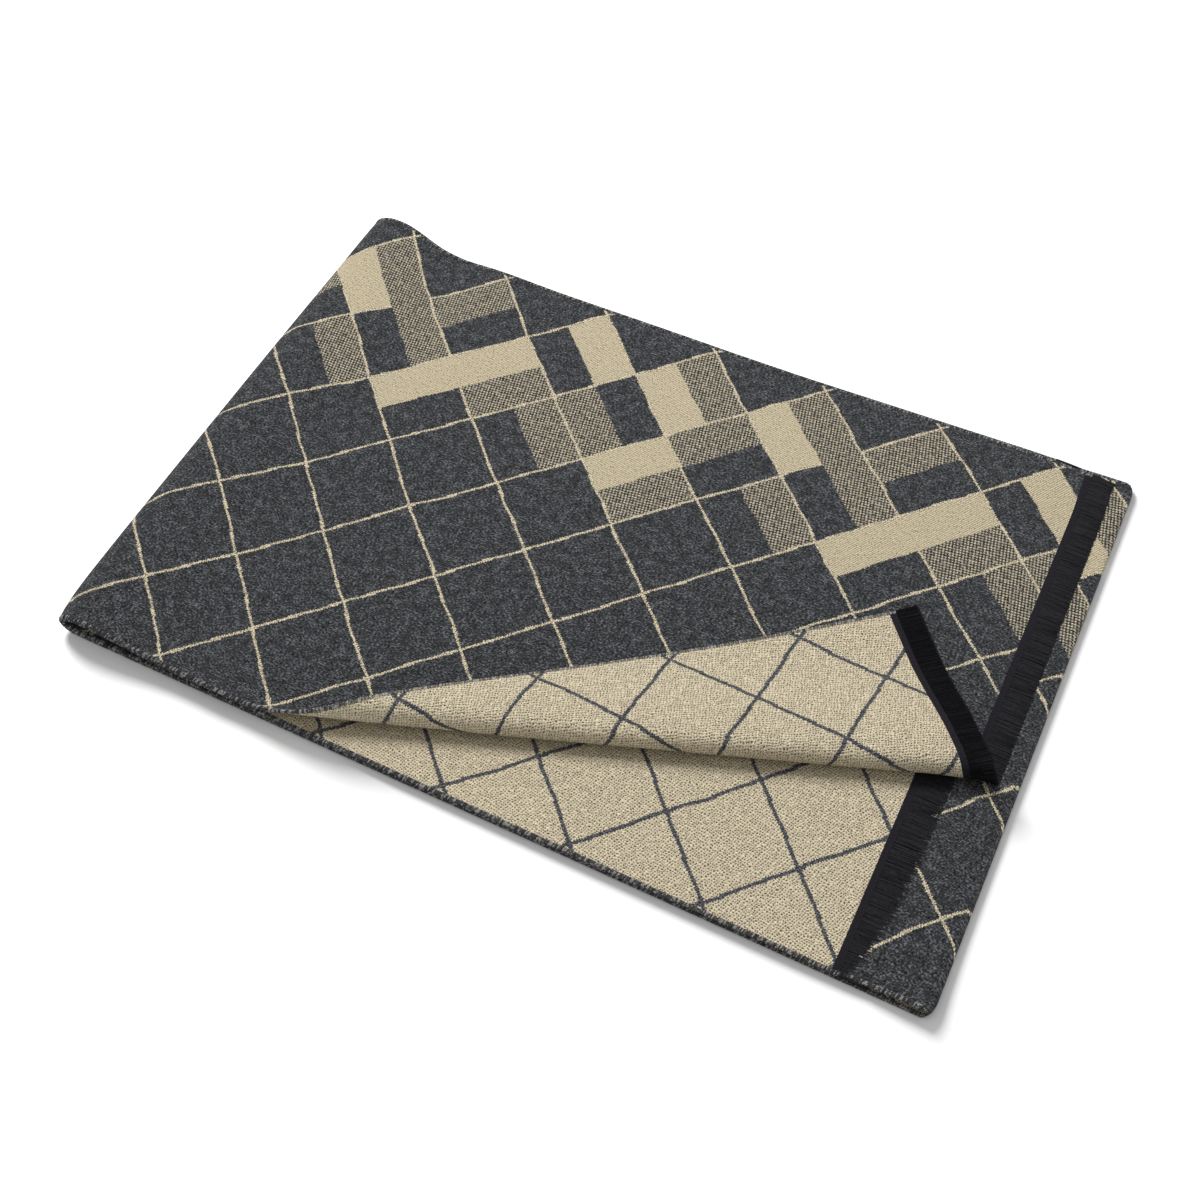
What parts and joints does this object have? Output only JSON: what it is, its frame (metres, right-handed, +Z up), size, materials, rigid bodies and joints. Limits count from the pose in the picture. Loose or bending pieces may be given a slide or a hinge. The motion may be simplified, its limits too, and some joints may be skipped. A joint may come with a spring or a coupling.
{
  "type": "folded woven throw",
  "caption": "Long reversible woven throw, folded flat in half twice, with one corner of its top ply turned back and brush-fringed ends.",
  "frame": {"origin": "middle of the folded throw's footprint, on the surface that it lies on", "axes": "+X along the folded cloth from the left folds to the centre fold, +Y across it to the far selvedge, +Z up"},
  "size_m": [0.4332, 0.3061, 0.018],
  "materials": {
    "cloth_charcoal_side": "brushed wool-like double cloth, charcoal heather with thin beige diamond lines",
    "cloth_beige_side": "the reverse of the same cloth, beige with thin charcoal diamond lines",
    "edge_stitching": "dark whipped yarn with light flecks",
    "end_band": "dark woven band",
    "brush_fringe": "near-black cut yarn ends"
  },
  "bodies": {
    "base": {"bottom_ply": "cloth_beige_side", "third_ply": "cloth_charcoal_side", "centre_fold": "cloth_charcoal_side", "base_near_stitching": "edge_stitching", "base_far_stitching": "edge_stitching", "outer_left_fold": "cloth_charcoal_side", "outer_fold_near_stitching": "edge_stitching", "outer_fold_far_stitching": "edge_stitching", "inner_left_fold": "cloth_charcoal_side", "inner_fold_near_stitching": "edge_stitching", "inner_fold_far_stitching": "edge_stitching"},
    "top_layer": {"top_ply": "cloth_charcoal_side", "top_ply_near_stitching": "edge_stitching", "top_ply_far_stitching": "edge_stitching", "end_a_band": "end_band", "end_a_fringe": "brush_fringe", "crease_roll": "cloth_beige_side", "crease_stitching": "edge_stitching", "crease_band": "end_band", "crease_fringe": "brush_fringe"},
    "second_layer": {"second_ply": "cloth_beige_side", "second_ply_near_stitching": "edge_stitching", "second_ply_far_stitching": "edge_stitching", "end_b_band": "end_band", "end_b_fringe": "brush_fringe"},
    "corner_flap_body": {"corner_flap": "cloth_beige_side", "flap_stitching": "edge_stitching", "flap_band": "end_band", "flap_fringe": "brush_fringe"}
  },
  "joints": [
    {"name": "top_layer_unfold", "type": "hinge", "parent": "base", "child": "top_layer", "pos_m": [-0.21655, 0, 0.0093], "axis": [0, -1, 0], "range_deg": [0, 180], "deforming": ["outer_left_fold", "outer_fold_near_stitching", "outer_fold_far_stitching"]},
    {"name": "second_layer_unfold", "type": "hinge", "parent": "base", "child": "second_layer", "pos_m": [-0.21655, 0, 0.0093], "axis": [0, -1, 0], "range_deg": [0, 180], "deforming": ["inner_left_fold", "inner_fold_near_stitching", "inner_fold_far_stitching"]},
    {"name": "corner_unfold", "type": "hinge", "parent": "top_layer", "child": "corner_flap_body", "pos_m": [-0.12049, -0.15867, 0.0114], "axis": [0.9449, 0.3272, 0], "range_deg": [0, 180], "deforming": ["crease_roll", "crease_stitching", "crease_band", "crease_fringe"]}
  ],
  "couplings": [
    {"joint": "second_layer_unfold", "follows": "top_layer_unfold", "ratio": 1}
  ]
}
